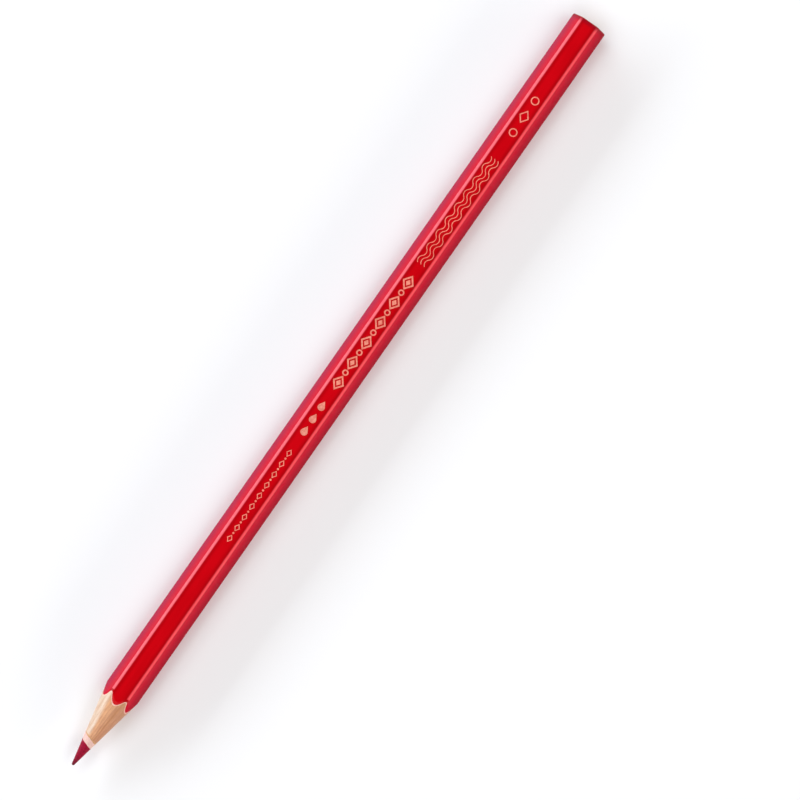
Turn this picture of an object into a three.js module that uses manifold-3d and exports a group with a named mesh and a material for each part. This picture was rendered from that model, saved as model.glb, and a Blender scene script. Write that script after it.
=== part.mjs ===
// A sharpened hexagonal watercolour pencil, lying on one of its facets.
//
// Millimetres. X runs along the pencil from the point to the blunt end, Z is up, and the
// origin is on the surface that the pencil lies on, under the middle of its length.
//
// The casing is made as the real one is: two grooved slats are glued face to face round a
// jacketed lead, milled to a hexagon, lacquered in coats, trimmed at one end and sharpened at
// the other. One finishing cut goes through all the layers, so each coat ends on the cone in
// the scallops that a round cone makes in flat facets.

import * as THREE from "three";
import { mergeVertices, toCreasedNormals } from "three/addons/utils/BufferGeometryUtils.js";
import Module from "manifold-3d";

const wasm = await Module();
wasm.setup();

// Driving dimensions of the whole pencil
const OVERALL_LENGTH = 175;
const ACROSS_FLATS = 6.65; // over the lacquer
const CORNER_RADIUS = 0.9; // of the lacquered corners
const RIM_RADIUS = 0.3; // worn edge of the trimmed blunt end

// Driving dimensions of the sharpened end
const CONE_HALF_ANGLE = 11.4; // degrees
const POINT_RADIUS = 0.3; // of the slightly blunt lead
const POINT_OFFSET = 0.13; // the point lies this far off the barrel's axis, towards -Y
const OFFSET_REACH = 26; // the cone's axis crosses the barrel's this far behind the point

// Driving dimensions of the layers, from the middle out
const LEAD_DIAMETER = 2.5;
const JACKET_WALL = 0.25;
const GLUE_THICKNESS = 0.06;
const UNDERCOAT_THICKNESS = 0.04;
const COLOUR_COAT_THICKNESS = 0.08;
const CLEAR_COAT_THICKNESS = 0.04;
const BOND_GAP = 0.01; // kept between layers that are bonded to each other

// Fineness of the round surfaces
const ROUND_STEPS = 96; // round the lead and the cone
const CORNER_STEPS = 3; // curve divisions of a barrel corner
const POINT_STEPS = 3; // curve divisions of the blunt point
const RIM_STEPS = 3; // across the worn edge
const CREASE_ANGLE = 25; // degrees, above which shading shows an edge

// Sizes that follow
const SIXTH_TURN = Math.PI / 3;
const POINT_X = -OVERALL_LENGTH / 2;
const END_X = OVERALL_LENGTH / 2;
const OVERSHOOT = ACROSS_FLATS; // how far cutting shapes run past what they cut
const LEAD_RADIUS = LEAD_DIAMETER / 2;
const JACKET_BORE_RADIUS = LEAD_RADIUS + BOND_GAP;
const JACKET_RADIUS = JACKET_BORE_RADIUS + JACKET_WALL;
const GLUE_BORE_RADIUS = JACKET_RADIUS + BOND_GAP;
const GLUE_RADIUS = GLUE_BORE_RADIUS + GLUE_THICKNESS;
const GROOVE_RADIUS = GLUE_RADIUS + BOND_GAP;
const SEAM_HALF_HEIGHT = GLUE_THICKNESS / 2;

// Depths under the outer surface
const COLOUR_COAT_DEPTH = CLEAR_COAT_THICKNESS + BOND_GAP;
const UNDERCOAT_DEPTH = COLOUR_COAT_DEPTH + COLOUR_COAT_THICKNESS + BOND_GAP;
const WOOD_DEPTH = UNDERCOAT_DEPTH + UNDERCOAT_THICKNESS + BOND_GAP;

// Turns an extrusion or a revolve, made along Z, to run along X with its own X along Y
const ALONG_X = new THREE.Matrix4().makeBasis(
  new THREE.Vector3(0, 1, 0),
  new THREE.Vector3(0, 0, 1),
  new THREE.Vector3(1, 0, 0),
);

// A closed three.js geometry as a solid that can be joined and cut
function solidOf(geometry) {
  const bare = geometry.clone();
  bare.deleteAttribute("normal");
  bare.deleteAttribute("uv");
  const merged = mergeVertices(bare);
  return new wasm.Manifold(
    new wasm.Mesh({
      numProp: 3,
      vertProperties: merged.attributes.position.array,
      triVerts: new Uint32Array(merged.index.array),
    }),
  );
}

// A solid as a named mesh with its own material
function meshOf(name, solid, material) {
  const { vertProperties, triVerts } = solid.getMesh();
  const geometry = new THREE.BufferGeometry();
  geometry.setAttribute("position", new THREE.BufferAttribute(vertProperties, 3));
  geometry.setIndex(new THREE.BufferAttribute(triVerts, 1));
  const creased = toCreasedNormals(geometry, THREE.MathUtils.degToRad(CREASE_ANGLE));
  const mesh = new THREE.Mesh(creased, new THREE.MeshStandardMaterial(material));
  mesh.name = name;
  return mesh;
}

// The barrel's section at a depth under its surface: a facet up, a facet down, corners to the
// sides
function barrelSection(depth) {
  const radius = CORNER_RADIUS - depth;
  const reach = (ACROSS_FLATS / 2 - depth - radius) / Math.cos(SIXTH_TURN / 2);
  const outline = new THREE.Shape();
  for (let corner = 0; corner < 6; corner++) {
    const turn = corner * SIXTH_TURN;
    const x = reach * Math.cos(turn);
    const y = reach * Math.sin(turn);
    outline.absarc(x, y, radius, turn - SIXTH_TURN / 2, turn + SIXTH_TURN / 2);
  }
  outline.closePath();
  return outline;
}

// A six-sided bar that runs past both ends of the pencil
function longBar(depth) {
  const bar = new THREE.ExtrudeGeometry(barrelSection(depth), {
    depth: OVERALL_LENGTH + 2 * OVERSHOOT,
    curveSegments: CORNER_STEPS,
    bevelEnabled: false,
  });
  return solidOf(bar.applyMatrix4(ALONG_X).translate(POINT_X - OVERSHOOT, 0, 0));
}

// A round bar that runs past both ends of the pencil
function longRod(radius) {
  const length = OVERALL_LENGTH + 2 * OVERSHOOT;
  const rod = new THREE.CylinderGeometry(radius, radius, length, ROUND_STEPS);
  return solidOf(rod.rotateZ(-Math.PI / 2));
}

// The lacquered bar as it is trimmed: it ends at the blunt end, in a worn edge
function trimmedBar() {
  const straight = OVERALL_LENGTH + OVERSHOOT - 2 * RIM_RADIUS;
  const bar = new THREE.ExtrudeGeometry(barrelSection(RIM_RADIUS), {
    depth: straight,
    curveSegments: CORNER_STEPS,
    bevelThickness: RIM_RADIUS,
    bevelSize: RIM_RADIUS,
    bevelSegments: RIM_STEPS,
  });
  return solidOf(bar.applyMatrix4(ALONG_X).translate(END_X - RIM_RADIUS - straight, 0, 0));
}

// What a sharpener leaves: a blunt point, a cone, and clear space round the barrel. The cone's
// axis crosses the barrel's at a small angle, so the point is a little off the middle.
function sharpenedSpace() {
  const slope = THREE.MathUtils.degToRad(CONE_HALF_ANGLE);
  const coneStart = POINT_RADIUS * (1 - Math.sin(slope));
  const clearRadius = ACROSS_FLATS;
  const coneRise = clearRadius - POINT_RADIUS * Math.cos(slope);
  const coneEnd = coneStart + coneRise / Math.tan(slope);
  const farEnd = OVERALL_LENGTH + OVERSHOOT;

  const profile = new THREE.Path();
  profile.absarc(0, POINT_RADIUS, POINT_RADIUS, -Math.PI / 2, -slope);
  profile.lineTo(clearRadius, coneEnd);
  profile.lineTo(clearRadius, farEnd);
  profile.lineTo(0, farEnd);

  const space = new THREE.LatheGeometry(profile.getPoints(POINT_STEPS), ROUND_STEPS);
  space.rotateZ(-Math.PI / 2).translate(-OFFSET_REACH, 0, 0);
  space.rotateZ(Math.asin(POINT_OFFSET / OFFSET_REACH));
  return solidOf(space.translate(POINT_X + OFFSET_REACH, 0, 0));
}

// A slab between two heights, wider and longer than the pencil
function slab(bottom, top) {
  const length = OVERALL_LENGTH + 2 * OVERSHOOT;
  const box = new THREE.BoxGeometry(length, ACROSS_FLATS + 2 * OVERSHOOT, top - bottom);
  return solidOf(box.translate(0, 0, (top + bottom) / 2));
}

const finishedBar = trimmedBar().intersect(sharpenedSpace());

// The pigment core, which is what draws
function leadCore() {
  return longRod(LEAD_RADIUS).intersect(finishedBar);
}

// The white protective layer bonded round the core
function leadJacket() {
  return longRod(JACKET_RADIUS).subtract(longRod(JACKET_BORE_RADIUS)).intersect(finishedBar);
}

// One film of glue: it beds the jacketed lead in both grooves and joins the slats on each side
function glueFilm() {
  const seam = slab(-SEAM_HALF_HEIGHT, SEAM_HALF_HEIGHT).intersect(longBar(WOOD_DEPTH));
  const bed = longRod(GLUE_RADIUS);
  return bed.add(seam).subtract(longRod(GLUE_BORE_RADIUS)).intersect(finishedBar);
}

// One grooved wooden slat: the upper one for side 1, the lower one for side -1
function slat(side) {
  const face = side * (SEAM_HALF_HEIGHT + BOND_GAP);
  const back = side * (ACROSS_FLATS + OVERSHOOT);
  const half = slab(Math.min(face, back), Math.max(face, back));
  const wood = longBar(WOOD_DEPTH).intersect(half).subtract(longRod(GROOVE_RADIUS));
  return wood.intersect(finishedBar);
}

// An inner coat: a six-sided sleeve that starts at a depth under the surface
function sleeve(depth, thickness) {
  return longBar(depth).subtract(longBar(depth + thickness)).intersect(finishedBar);
}

// The outermost coat, whose outside is the finished bar itself
function clearCoat() {
  return finishedBar.subtract(longBar(CLEAR_COAT_THICKNESS));
}

const LEAD = { color: 0xaf1233, roughness: 0.45, metalness: 0 };
const JACKET = { color: 0xf4d9cd, roughness: 0.7, metalness: 0 };
const GLUE = { color: 0xcfa97a, roughness: 0.5, metalness: 0 };
const WOOD = { color: 0xdcab7e, roughness: 0.75, metalness: 0 };
const UNDERCOAT = { color: 0xf1e6dc, roughness: 0.6, metalness: 0 };
const COLOUR = { color: 0xcc0612, roughness: 0.35, metalness: 0 };
const CLEAR = { color: 0xd61a26, roughness: 0.1, metalness: 0, transparent: true, opacity: 0.4 };

const lead = new THREE.Group();
lead.add(meshOf("lead_core", leadCore(), LEAD));
lead.add(meshOf("lead_jacket", leadJacket(), JACKET));

const casing = new THREE.Group();
casing.add(meshOf("glue_film", glueFilm(), GLUE));
casing.add(meshOf("upper_slat", slat(1), WOOD));
casing.add(meshOf("lower_slat", slat(-1), WOOD));

const lacquer = new THREE.Group();
lacquer.add(meshOf("undercoat", sleeve(UNDERCOAT_DEPTH, UNDERCOAT_THICKNESS), UNDERCOAT));
lacquer.add(meshOf("colour_coat", sleeve(COLOUR_COAT_DEPTH, COLOUR_COAT_THICKNESS), COLOUR));
lacquer.add(meshOf("clear_coat", clearCoat(), CLEAR));

// The barrel's axis lies half its width above the surface
const pencil = new THREE.Group();
pencil.add(lead, casing, lacquer);
pencil.position.z = ACROSS_FLATS / 2;

const part = new THREE.Group();
part.add(pencil);

export default part;
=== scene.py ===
"""The looks of a sharpened hexagonal watercolour pencil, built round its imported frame.

Every layer of the pencil is modelled in millimetres on the barrel's axis, cut by one
sharpener's cone, dressed, and then settled into the frame's metres.
"""

import logging
import math
from collections.abc import Callable, Iterable, Iterator
from contextlib import contextmanager
from dataclasses import dataclass, field
from enum import Enum

import bmesh
import bpy
from mathutils import Matrix, Vector


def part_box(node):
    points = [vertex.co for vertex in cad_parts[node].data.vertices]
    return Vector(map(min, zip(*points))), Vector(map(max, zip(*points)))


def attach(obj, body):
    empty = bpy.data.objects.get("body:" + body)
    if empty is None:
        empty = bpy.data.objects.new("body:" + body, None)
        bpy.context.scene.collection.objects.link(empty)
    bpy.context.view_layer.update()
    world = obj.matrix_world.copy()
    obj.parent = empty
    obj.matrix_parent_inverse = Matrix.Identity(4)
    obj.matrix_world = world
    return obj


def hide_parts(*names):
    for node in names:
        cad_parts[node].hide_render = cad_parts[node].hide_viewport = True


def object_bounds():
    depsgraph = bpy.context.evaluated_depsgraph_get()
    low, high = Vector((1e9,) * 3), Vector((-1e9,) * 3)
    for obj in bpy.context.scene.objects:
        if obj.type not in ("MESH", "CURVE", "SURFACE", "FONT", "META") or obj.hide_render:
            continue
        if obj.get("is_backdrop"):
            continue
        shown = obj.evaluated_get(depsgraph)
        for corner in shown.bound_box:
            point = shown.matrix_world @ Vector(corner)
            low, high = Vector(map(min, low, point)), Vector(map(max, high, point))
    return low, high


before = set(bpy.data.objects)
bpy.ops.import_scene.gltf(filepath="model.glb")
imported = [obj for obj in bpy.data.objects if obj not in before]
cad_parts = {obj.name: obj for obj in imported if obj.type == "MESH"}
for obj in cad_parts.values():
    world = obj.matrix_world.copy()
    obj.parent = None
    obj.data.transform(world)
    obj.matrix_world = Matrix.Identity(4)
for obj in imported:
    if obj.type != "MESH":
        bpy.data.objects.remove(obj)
CAD_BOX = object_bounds()
LOG = logging.getLogger("pencil")

MM = 0.001  # metres in a millimetre
SIXTH_TURN = math.pi / 3
ALONG_X = (0.0, math.pi / 2, 0.0)  # turns a primitive's own Z to run along X
ROOT = "root"
ROUND = 20.0  # degrees between faces that still shade as one surface
FLAT = 8.0  # the same where facets stay flat
NOISE_MIDDLE = 0.5

Triple = tuple[float, float, float]
Colour = Triple
Band = tuple[float, float]  # where a change starts and where it ends
Socket = bpy.types.NodeSocket
Outputs = bpy.types.NodeOutputs
Number = float | Socket  # a number, or the socket that gives it
Tint = Colour | Socket  # the same for a colour
Piece = bpy.types.Object
Element = bmesh.types.BMVert | bmesh.types.BMEdge | bmesh.types.BMFace
NAUGHTS, ONES = (0.0, 0.0, 0.0), (1.0, 1.0, 1.0)


@dataclass(frozen=True)
class PencilSizes:
    """The pencil's sizes in millimetres, of which the first seven are read from the frame."""

    length: float
    across_flats: float
    colour_depth: float
    undercoat_depth: float
    wood_depth: float
    lead_radius: float
    jacket_radius: float
    glue_thickness: float = 0.06
    corner_radius: float = 0.9
    rim_radius: float = 0.3
    cone_half_angle: float = math.radians(11.4)
    point_radius: float = 0.3
    point_offset: float = 0.13
    offset_reach: float = 26.0

    @classmethod
    def from_frame(cls) -> "PencilSizes":
        """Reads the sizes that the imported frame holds.

        Returns:
            The sizes, in millimetres.
        """
        skin = tall("clear_coat")
        low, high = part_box("lead_core")
        return cls(
            length=(high.x - low.x) / MM,
            across_flats=skin,
            colour_depth=(skin - tall("colour_coat")) / 2,
            undercoat_depth=(skin - tall("undercoat")) / 2,
            wood_depth=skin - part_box("upper_slat")[1].z / MM,
            lead_radius=tall("lead_core") / 2,
            jacket_radius=tall("lead_jacket") / 2,
        )

    @property
    def point_x(self) -> float:
        """Where the point is, along X."""
        return -self.length / 2

    @property
    def end_x(self) -> float:
        """Where the blunt end is, along X."""
        return self.length / 2

    @property
    def axis_height(self) -> float:
        """How high the barrel's axis lies."""
        return self.across_flats / 2

    @property
    def facet_edge_reach(self) -> float:
        """How far from the axis a facet ends and its rounded corner begins."""
        flat = self.across_flats / 2
        return math.hypot(flat, (flat - self.corner_radius) * math.tan(SIXTH_TURN / 2))

    @property
    def corner_reach(self) -> float:
        """How far from the axis the middle of a rounded corner is."""
        centre = (self.across_flats / 2 - self.corner_radius) / math.cos(SIXTH_TURN / 2)
        return centre + self.corner_radius

    @property
    def overshoot(self) -> float:
        """How far a cutting shape runs past what it cuts."""
        return self.across_flats

    @property
    def cone_start(self) -> float:
        """How far behind the point the blunt tip turns into the cone."""
        return self.point_radius * (1 - math.sin(self.cone_half_angle))

    def cone_radius(self, behind_point: float) -> float:
        """The cone's radius at a distance behind the point, past the blunt tip."""
        rise = (behind_point - self.cone_start) * math.tan(self.cone_half_angle)
        return self.point_radius * math.cos(self.cone_half_angle) + rise


def tall(node: str) -> float:
    """The height of a CAD node in millimetres."""
    low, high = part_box(node)
    return (high.z - low.z) / MM


# Modelling steps


def pick(piece: Piece) -> None:
    """Makes one piece the only one selected, and the active one.

    Args:
        piece: the piece to work on.
    """
    bpy.ops.object.select_all(action="DESELECT")
    piece.select_set(True)
    bpy.context.view_layer.objects.active = piece


def fix(piece: Piece) -> None:
    """Fixes a piece's place, turn and size into its mesh."""
    pick(piece)
    bpy.ops.object.transform_apply(location=True, rotation=True, scale=True)


def added(name: str) -> Piece:
    """Names the primitive that was just added and fixes its place into its mesh.

    Args:
        name: the piece's name.

    Returns:
        The new piece.
    """
    piece = bpy.context.active_object
    piece.name = name
    fix(piece)
    return piece


@contextmanager
def editing(piece: Piece, mode: str = "FACE") -> Iterator[bmesh.types.BMesh]:
    """Opens a piece in edit mode with nothing selected, and closes it again.

    Args:
        piece: the piece to edit.
        mode: the kind of element that is picked, VERT, EDGE or FACE.

    Yields:
        The edit mesh, for picking elements by their place.
    """
    pick(piece)
    bpy.ops.object.mode_set(mode="EDIT")
    bpy.ops.mesh.select_mode(type=mode)
    bpy.ops.mesh.select_all(action="DESELECT")
    try:
        yield bmesh.from_edit_mesh(piece.data)
    finally:
        bpy.ops.object.mode_set(mode="OBJECT")


def select(elements: Iterable[Element], wanted: Callable[[Element], bool]) -> None:
    """Selects those elements of an edit mesh that pass a test."""
    for element in elements:
        element.select_set(wanted(element))


def face_outward() -> None:
    """Turns all faces of the piece in edit mode outward, and leaves them selected."""
    bpy.ops.mesh.select_all(action="SELECT")
    bpy.ops.mesh.normals_make_consistent(inside=False)


def finish_modifier(piece: Piece, kind: str, **settings: object) -> None:
    """Adds a modifier and applies it.

    Args:
        piece: the piece that it shapes.
        kind: Blender's name for the modifier.
        settings: the modifier's options.
    """
    modifier = piece.modifiers.new(kind.lower(), kind)
    for option, value in settings.items():
        setattr(modifier, option, value)
    pick(piece)
    bpy.ops.object.modifier_apply(modifier=modifier.name)


class Cut(Enum):
    """How one solid acts on another."""

    COMMON = "INTERSECT"
    AWAY = "DIFFERENCE"
    JOIN = "UNION"


def shape_by(piece: Piece, tool: Piece, cut: Cut) -> Piece:
    """Joins a piece to a tool or cuts it by one, which stays as it is, and gives it back."""
    finish_modifier(piece, "BOOLEAN", operation=cut.value, object=tool, solver="EXACT")
    return piece


def copy_of(piece: Piece, name: str) -> Piece:
    """A copy of a piece with a mesh of its own.

    Args:
        piece: the piece to copy.
        name: the copy's name.

    Returns:
        The copy.
    """
    pick(piece)
    bpy.ops.object.duplicate()
    twin = bpy.context.active_object
    twin.name = name
    return twin


def move(piece: Piece, shift: Triple) -> None:
    """Moves a piece and fixes its new place into its mesh.

    Args:
        piece: the piece.
        shift: how far it moves.
    """
    pick(piece)
    bpy.ops.transform.translate(value=shift)
    fix(piece)


def joined(parts: list[Piece], name: str) -> Piece:
    """Joins several pieces into one object.

    Args:
        parts: the pieces, all of which go into the first.
        name: the name of the result.

    Returns:
        The joined piece.
    """
    pick(parts[0])
    for part in parts:
        part.select_set(True)
    bpy.ops.object.join()
    parts[0].name = name
    return parts[0]


def discard(*tools: Piece) -> None:
    """Removes tools that have done their work."""
    for tool in tools:
        bpy.data.objects.remove(tool)


def turned_bar(
    name: str, stations: list[tuple[float, float]], height: float, steps: int
) -> Piece:
    """A round bar along X, made by pushing a disc out from station to station.

    Args:
        name: the bar's name.
        stations: the place along X and the radius of each ring, in millimetres. A last
            radius of 0 closes the bar in a point.
        height: how high its axis lies.
        steps: how many sides it has.

    Returns:
        The bar.
    """
    place, radius = stations[0]
    bpy.ops.mesh.primitive_circle_add(
        vertices=steps,
        radius=radius,
        fill_type="NGON",
        location=(place, 0, height),
        rotation=ALONG_X,
    )
    bar = added(name)
    with editing(bar):
        bpy.ops.mesh.select_all(action="SELECT")
        for next_place, next_radius in stations[1:]:
            push = {"value": (next_place - place, 0, 0)}
            bpy.ops.mesh.extrude_region_move(TRANSFORM_OT_translate=push)
            if next_radius:
                share = next_radius / radius
                centre = (next_place, 0, height)
                bpy.ops.transform.resize(value=(1, share, share), center_override=centre)
                radius = next_radius
            else:
                bpy.ops.mesh.merge(type="CENTER")
            place = next_place
        face_outward()
    return bar


def make_uneven(piece: Piece, strength: float, grain: float) -> None:
    """Makes a surface slightly uneven.

    Args:
        piece: the piece, in millimetres.
        strength: how far its hills stand above its hollows at most, in millimetres.
        grain: the size of its hills, in millimetres.
    """
    clouds = bpy.data.textures.new(piece.name + "_relief", type="CLOUDS")
    clouds.noise_scale = grain
    options = {"texture": clouds, "strength": strength, "mid_level": NOISE_MIDDLE}
    finish_modifier(piece, "DISPLACE", **options)


def settle(piece: Piece, smooth_below: float = ROUND) -> Piece:
    """Brings a finished piece from millimetres to the frame's metres and shades it.

    Args:
        piece: the piece, modelled in millimetres.
        smooth_below: the angle between faces, in degrees, that still shades as one surface.

    Returns:
        The piece, with its place in its mesh.
    """
    piece.scale = (MM, MM, MM)
    fix(piece)
    bpy.ops.object.shade_smooth_by_angle(angle=math.radians(smooth_below))
    return piece


# Shader building


@dataclass(frozen=True)
class Cloud:
    """A pattern of cloudy noise."""

    grain: float | Triple  # how many clouds go in a metre, the same all ways or along each axis
    detail: float = 3.0  # how many finer layers it has


class Tree:
    """A node tree under construction."""

    def __init__(self, tree: bpy.types.NodeTree) -> None:
        """Takes over an empty node tree."""
        self.tree = tree

    def feed(self, node: bpy.types.Node, name: str | int, value: object) -> None:
        """Sets one of a node's inputs, or joins it to the socket that feeds it.

        Args:
            node: the node.
            name: the input's name or number.
            value: its value, or the socket that feeds it.
        """
        if isinstance(value, Socket):
            self.tree.links.new(value, node.inputs[name])
        else:
            node.inputs[name].default_value = value

    def node(
        self, kind: str, inputs: dict[str | int, object] | None = None, **options: object
    ) -> bpy.types.Node:
        """Adds a node, sets it and joins its inputs.

        Args:
            kind: Blender's name for the node.
            inputs: for each input, its value or the socket that feeds it.
            options: the node's own options.

        Returns:
            The node.
        """
        node = self.tree.nodes.new(kind)
        for option, value in options.items():
            setattr(node, option, value)
        for name, value in (inputs or {}).items():
            self.feed(node, name, value)
        return node

    def math(self, operation: str, first: Number, second: Number = 0.0) -> Socket:
        """The result of a sum on two values."""
        return self.node("ShaderNodeMath", {0: first, 1: second}, operation=operation).outputs[0]

    def plus(self, first: Number, second: Number) -> Socket:
        """Two values together."""
        return self.math("ADD", first, second)

    def less(self, first: Number, second: Number) -> Socket:
        """The first value without the second."""
        return self.math("SUBTRACT", first, second)

    def times(self, first: Number, second: Number) -> Socket:
        """One value times another."""
        return self.math("MULTIPLY", first, second)

    def weighed(self, first: Socket, second: Socket, share: float) -> Socket:
        """Two values together, of which the second has a share."""
        return self.plus(self.times(first, 1 - share), self.times(second, share))

    def ramp(
        self, value: Socket, low: float, high: float, out_low: float = 0.0, out_high: float = 1.0
    ) -> Socket:
        """Maps a value's range smoothly onto another, and holds it at the ends.

        Args:
            value: the value.
            low: where the change starts.
            high: where it ends.
            out_low: the result at the start.
            out_high: the result at the end.

        Returns:
            The mapped value.
        """
        inputs = {"Value": value, 1: low, 2: high, 3: out_low, 4: out_high}
        node = self.node("ShaderNodeMapRange", inputs, interpolation_type="SMOOTHSTEP")
        return node.outputs["Result"]

    def mix(self, share: Number, first: Tint, second: Tint) -> Socket:
        """A colour between two, by a share."""
        inputs = {0: share, 6: rgba(first), 7: rgba(second)}
        return self.node("ShaderNodeMix", inputs, data_type="RGBA").outputs[2]

    def mapped(
        self, vector: Socket, scale: Triple = ONES, turn: Triple = NAUGHTS, shift: Triple = NAUGHTS
    ) -> Socket:
        """A vector scaled, then turned, then moved."""
        inputs = {"Vector": vector, "Scale": scale, "Rotation": turn, "Location": shift}
        return self.node("ShaderNodeMapping", inputs).outputs[0]

    def parts(self, vector: Socket) -> list[Socket]:
        """A vector's parts along X, Y and Z."""
        return list(self.node("ShaderNodeSeparateXYZ", {0: vector}).outputs)

    def noise(self, place: Socket, cloud: Cloud) -> Socket:
        """Cloudy noise between 0 and 1.

        Args:
            place: where it is read.
            cloud: its pattern.

        Returns:
            The noise.
        """
        grain = cloud.grain
        if isinstance(grain, tuple):
            place, grain = self.mapped(place, scale=grain), 1.0
        inputs = {"Vector": place, "Scale": grain, "Detail": cloud.detail}
        return self.node("ShaderNodeTexNoise", inputs).outputs[0]


def rgba(colour: Tint) -> tuple[float, ...] | Socket:
    """A colour with its alpha, or a socket as it is."""
    return colour if isinstance(colour, Socket) else (*colour, 1.0)


def shaded(colour: Colour, share: float) -> Colour:
    """A colour made darker, to a share of its light."""
    return tuple(share * part for part in colour)


@dataclass(frozen=True)
class Effect:
    """A shader effect that several materials share, built once as a node group.

    The group has a Place input besides its number inputs.
    """

    name: str
    inputs: dict[str, float]  # with their usual values
    outputs: tuple[str, ...]

    def draw(self, tree: Tree, given: Outputs) -> list[Socket]:
        """Builds the effect's nodes and returns what feeds each output."""
        raise NotImplementedError

    def group(self) -> bpy.types.NodeTree:
        """Builds the node group the first time it is asked for.

        Returns:
            The node group.
        """
        group = bpy.data.node_groups.get(self.name)
        if group:
            return group
        group = bpy.data.node_groups.new(self.name, "ShaderNodeTree")
        face = group.interface
        face.new_socket("Place", in_out="INPUT", socket_type="NodeSocketVector")
        for label, usual in self.inputs.items():
            socket = face.new_socket(label, in_out="INPUT", socket_type="NodeSocketFloat")
            socket.default_value = usual
        for label in self.outputs:
            face.new_socket(label, in_out="OUTPUT", socket_type="NodeSocketFloat")
        tree = Tree(group)
        feeds = self.draw(tree, tree.node("NodeGroupInput").outputs)
        tree.node("NodeGroupOutput", dict(zip(self.outputs, feeds)))
        return group

    def on(self, canvas: "Canvas", **values: float) -> Outputs:
        """Places the effect in a material, sets its inputs and gives its outputs."""
        inputs = {"Place": canvas.place, **values}
        return canvas.node("ShaderNodeGroup", inputs, node_tree=self.group()).outputs


@dataclass(frozen=True)
class Fibres(Effect):
    """Long wood fibres along X, with short dark pores among them."""

    fine: Cloud = Cloud((90, 3600, 3600), 4.0)
    coarse: Cloud = Cloud((25, 900, 900), 2.0)
    coarse_share: float = 0.45
    pores: Cloud = Cloud((420, 9000, 9000), 1.0)
    pore_band: Band = (0.6, 0.72)
    pore_depth: float = 0.6

    def draw(self, tree: Tree, given: Outputs) -> list[Socket]:
        """Builds the effect's nodes.

        Args:
            tree: the group's nodes.
            given: the group's inputs.

        Returns:
            The fibres' light and dark, the pores, and the height.
        """
        place = given["Place"]
        fine, coarse = tree.noise(place, self.fine), tree.noise(place, self.coarse)
        pores = tree.ramp(tree.noise(place, self.pores), *self.pore_band)
        pores = tree.times(pores, given["Pores"])
        tone = tree.weighed(fine, coarse, self.coarse_share)
        return [tone, pores, tree.less(tone, tree.times(pores, self.pore_depth))]


@dataclass(frozen=True)
class BladeMarks(Effect):
    """Fine rings that a sharpener's blade leaves round the cone."""

    rings: Cloud = Cloud((2600, 220, 220), 3.0)
    chatter: Cloud = Cloud((900, 1500, 1500), 2.0)
    chatter_share: float = 0.3

    def draw(self, tree: Tree, given: Outputs) -> list[Socket]:
        """Builds the nodes that make the height of the marks."""
        rings, chatter = (tree.noise(given["Place"], one) for one in (self.rings, self.chatter))
        return [tree.weighed(rings, chatter, self.chatter_share)]


@dataclass(frozen=True)
class PigmentDust(Effect):
    """Specks of lead dust that thin out with distance from the point."""

    specks: Cloud = Cloud(4200.0, 2.0)
    speck_band: Band = (0.62, 0.72)
    smears: Cloud = Cloud((500, 1400, 1400), 2.0)
    smear_band: Band = (0.5, 0.75)
    smear_share: float = 0.6

    def draw(self, tree: Tree, given: Outputs) -> list[Socket]:
        """Builds the effect's nodes.

        Args:
            tree: the group's nodes.
            given: the group's inputs.

        Returns:
            Where the dust lies.
        """
        place = given["Place"]
        behind = tree.less(tree.parts(place)[0], given["Start"])
        nearness = tree.ramp(tree.math("DIVIDE", behind, given["Reach"]), 0.0, 1.0, 1.0, 0.0)
        specks = tree.ramp(tree.noise(place, self.specks), *self.speck_band)
        smears = tree.ramp(tree.noise(place, self.smears), *self.smear_band)
        dust = tree.math("MAXIMUM", specks, tree.times(smears, self.smear_share))
        return [tree.times(tree.times(dust, nearness), given["Amount"])]


@dataclass(frozen=True)
class Handling(Effect):
    """Faint smudges, and hairline scratches where it is smudged."""

    smudges: Cloud = Cloud(160.0, 4.0)
    smudge_band: Band = (0.45, 0.7)
    smudge_share: float = 0.5
    hairlines: Cloud = Cloud((300, 12000, 5000), 1.0)
    hairline_band: Band = (0.7, 0.78)
    scratched_band: Band = (0.2, 0.9)  # of the smudges

    def draw(self, tree: Tree, given: Outputs) -> list[Socket]:
        """Builds the effect's nodes.

        Args:
            tree: the group's nodes.
            given: the group's inputs.

        Returns:
            Where the surface was handled, and the scratches alone.
        """
        place = given["Place"]
        smudge = tree.ramp(tree.noise(place, self.smudges), *self.smudge_band)
        hair = tree.ramp(tree.noise(place, self.hairlines), *self.hairline_band)
        hair = tree.times(hair, tree.ramp(smudge, *self.scratched_band))
        both = tree.math("MAXIMUM", tree.times(smudge, self.smudge_share), hair)
        return [tree.times(both, given["Amount"]), hair]


FIBRES = Fibres("wood_fibres", {"Pores": 1.0}, ("Tone", "Pore", "Height"))
BLADE_MARKS = BladeMarks("blade_marks", {}, ("Height",))
DUST_INPUTS = {"Start": 0.0, "Reach": 0.01, "Amount": 1.0}
PIGMENT_DUST = PigmentDust("pigment_dust", DUST_INPUTS, ("Mask",))
HANDLING = Handling("handling", {"Amount": 1.0}, ("Mask", "Scratch"))


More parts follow.
